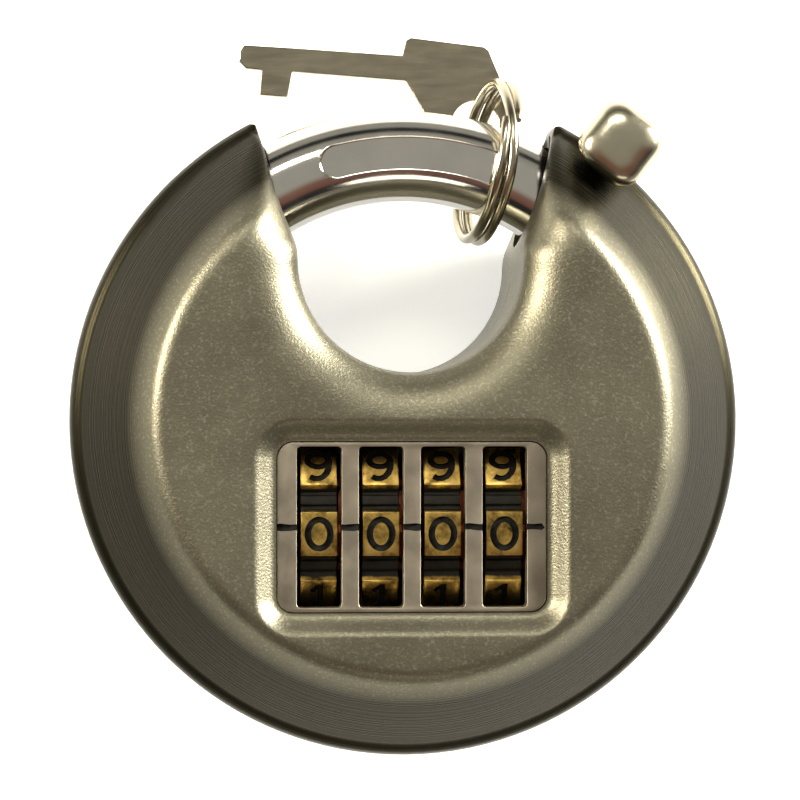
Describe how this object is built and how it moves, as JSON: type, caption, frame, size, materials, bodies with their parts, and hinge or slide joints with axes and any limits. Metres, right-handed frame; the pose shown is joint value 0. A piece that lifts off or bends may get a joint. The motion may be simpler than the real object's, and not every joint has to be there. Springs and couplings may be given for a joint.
{
  "type": "disc padlock",
  "caption": "Round disc padlock with a hidden rotating shackle, a number wheel window, a thumb knob on the rim, and a flat reset key on a split ring.",
  "frame": {"origin": "centre of the disc on its flat back face, on the axis the shackle turns about", "axes": "+Z out of the front face through the number wheels, +Y towards the shackle, +X right as seen from the front; the lock lies on its back"},
  "size_m": [0.07, 0.0767, 0.028],
  "materials": {
    "satin_steel": "bead-blasted satin",
    "dark_steel": "satin, darker",
    "chrome": "polished",
    "aged_brass": "aged, grooves blackened",
    "zinc": "matt grey die casting",
    "spring_steel": "plain",
    "black_steel": "blackened",
    "nickel": "nickel plated, slightly dull"
  },
  "bodies": {
    "casing": {"front_shell": "satin_steel", "back_shell": "satin_steel", "window_plate": "dark_steel", "chassis": "zinc", "chassis_screw_1": "spring_steel", "chassis_screw_2": "spring_steel", "chassis_screw_3": "spring_steel", "chassis_screw_4": "spring_steel", "shackle_guide": "zinc", "tip_socket": "zinc", "wheel_axle": "spring_steel", "axle_clip": "spring_steel", "detent_spring": "spring_steel", "fence_guide_1": "zinc", "fence_guide_2": "zinc", "fence_spring_1": "spring_steel", "fence_spring_2": "spring_steel", "bolt_spring": "spring_steel", "axle_spring": "spring_steel", "plug_clip": "spring_steel", "fence_bar": "zinc"},
    "shackle_body": {"shackle": "chrome", "shackle_knob": "chrome", "knob_screw": "black_steel"},
    "bolt": {"locking_bolt": "chrome"},
    "plug": {"reset_plug": "aged_brass"},
    "ring": {"key_ring": "nickel"},
    "key": {"reset_key": "nickel"},
    "wheel_1": {"number_wheel_1": "aged_brass", "wheel_sleeve_1": "zinc"},
    "wheel_2": {"number_wheel_2": "aged_brass", "wheel_sleeve_2": "zinc"},
    "wheel_3": {"number_wheel_3": "aged_brass", "wheel_sleeve_3": "zinc"},
    "wheel_4": {"number_wheel_4": "aged_brass", "wheel_sleeve_4": "zinc"}
  },
  "joints": [
    {"name": "shackle_turn", "type": "hinge", "parent": "casing", "child": "shackle_body", "pos_m": [0, 0, 0.014], "axis": [0, 0, 1], "range_deg": [-72, 0]},
    {"name": "wheel_1_turn", "type": "hinge", "parent": "casing", "child": "wheel_1", "pos_m": [-0.00942, -0.0107, 0.0148], "axis": [1, 0, 0], "continuous": true},
    {"name": "wheel_2_turn", "type": "hinge", "parent": "casing", "child": "wheel_2", "pos_m": [-0.00314, -0.0107, 0.0148], "axis": [1, 0, 0], "continuous": true},
    {"name": "wheel_3_turn", "type": "hinge", "parent": "casing", "child": "wheel_3", "pos_m": [0.00314, -0.0107, 0.0148], "axis": [1, 0, 0], "continuous": true},
    {"name": "wheel_4_turn", "type": "hinge", "parent": "casing", "child": "wheel_4", "pos_m": [0.00942, -0.0107, 0.0148], "axis": [1, 0, 0], "continuous": true},
    {"name": "bolt_slide", "type": "slide", "parent": "casing", "child": "bolt", "axis": [0.848, 0.5299, 0], "range_m": [0, 0.0025]},
    {"name": "reset_plug_turn", "type": "hinge", "parent": "casing", "child": "plug", "pos_m": [-0.0201, -0.0048, 0], "axis": [0, 0, 1], "range_deg": [0, 90]},
    {"name": "ring_swing", "type": "hinge", "parent": "casing", "child": "ring", "pos_m": [0.00922, 0.02628, 0.014], "axis": [0.9433, -0.3319, 0], "range_deg": [0, 60]},
    {"name": "key_swing", "type": "hinge", "parent": "ring", "child": "key", "pos_m": [0.0084, 0.0322, 0.0051], "axis": [-0.1545, 0.0514, 0.9867], "range_deg": [-20, 5]}
  ]
}
